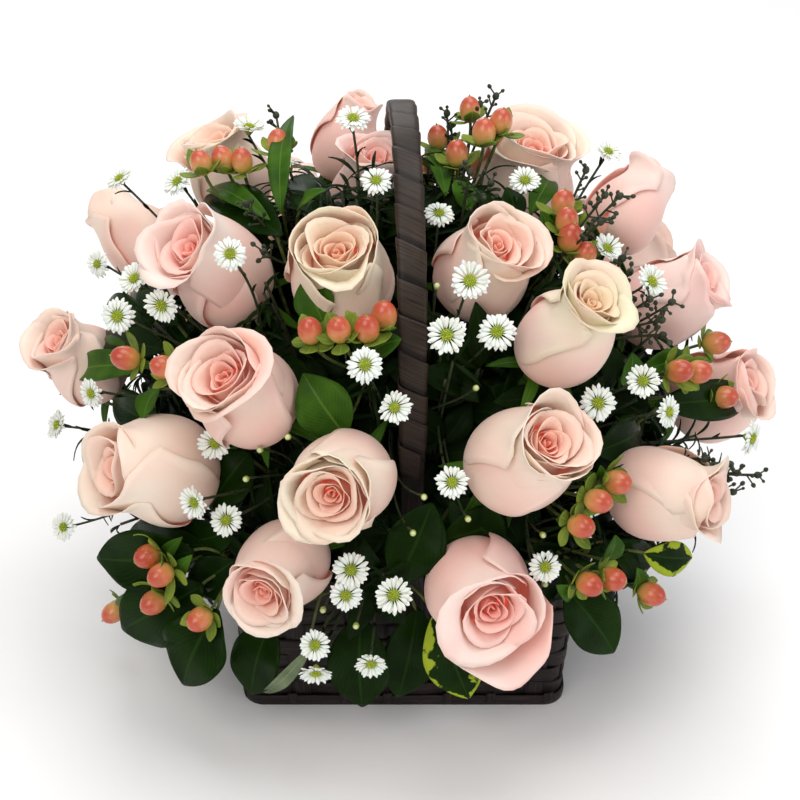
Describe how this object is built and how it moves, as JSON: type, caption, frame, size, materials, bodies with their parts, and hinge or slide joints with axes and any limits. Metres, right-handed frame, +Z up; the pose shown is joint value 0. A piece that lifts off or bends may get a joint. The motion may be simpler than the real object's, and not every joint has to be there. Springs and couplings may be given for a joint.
{
  "type": "flower basket arrangement",
  "caption": "Blush roses, coral berries, small asters and glossy leaves arranged in wet foam in a dark woven basket with a bound hoop handle.",
  "frame": {"origin": "middle of the basket's underside, where it stands on the table", "axes": "+Z up, -Y towards the person who looks at it, +X to that person's right; the hoop runs front to back"},
  "size_m": [0.4022, 0.3399, 0.3164],
  "materials": {
    "dark_splint": "woven dark stained wood splint, satin",
    "bark_binding": "wound dark brown splint, satin",
    "liner_film": "thin dark green film",
    "wet_foam": "fine open foam, soaked",
    "rose_petal": "soft blush petal with cream edge and salmon heart, velvety",
    "hypericum_berry": "glossy coral berry on green sepals",
    "aster_ray": "white rays round a yellow-green eye",
    "dark_twig": "dark green-black buds and twigs",
    "glossy_leaf": "glossy deep green leaf"
  },
  "bodies": {
    "root": {"asters_belly_left": "aster_ray", "asters_belly_right": "aster_ray", "asters_crown": "aster_ray", "asters_edge_left": "aster_ray", "asters_heart": "aster_ray", "asters_shoulder_left": "aster_ray", "asters_shoulder_right": "aster_ray", "asters_side_left": "aster_ray", "asters_side_right": "aster_ray", "asters_skirt": "aster_ray", "basket_base": "dark_splint", "basket_foot_band": "dark_splint", "basket_rim_band": "dark_splint", "basket_wall": "dark_splint", "berries_belly_right": "hypericum_berry", "berries_crown_left": "hypericum_berry", "berries_crown_right": "hypericum_berry", "berries_heart_left": "hypericum_berry", "berries_shoulder_right": "hypericum_berry", "berries_side_left": "hypericum_berry", "berries_side_right": "hypericum_berry", "berries_skirt_left": "hypericum_berry", "berries_skirt_right": "hypericum_berry", "bud_twig_crown": "dark_twig", "bud_twig_side_right": "dark_twig", "floral_foam": "wet_foam", "handle_binding": "bark_binding", "handle_hoop": "dark_splint", "leaves_skirt_back_left": "glossy_leaf", "leaves_skirt_back_right": "glossy_leaf", "leaves_skirt_front": "glossy_leaf", "leaves_skirt_left": "glossy_leaf", "leaves_skirt_right": "glossy_leaf", "liner": "liner_film", "rose_01": "rose_petal", "rose_02": "rose_petal", "rose_03": "rose_petal", "rose_04": "rose_petal", "rose_05": "rose_petal", "rose_06": "rose_petal", "rose_07": "rose_petal", "rose_08": "rose_petal", "rose_09": "rose_petal", "rose_10": "rose_petal", "rose_11": "rose_petal", "rose_12": "rose_petal", "rose_13": "rose_petal", "rose_14": "rose_petal", "rose_15": "rose_petal", "rose_16": "rose_petal", "rose_17": "rose_petal", "rose_18": "rose_petal", "rose_19": "rose_petal", "rose_20": "rose_petal", "rose_21": "rose_petal", "rose_22": "rose_petal", "rose_23": "rose_petal", "rose_24": "rose_petal", "rose_25": "rose_petal", "rose_26": "rose_petal"}
  },
  "joints": []
}
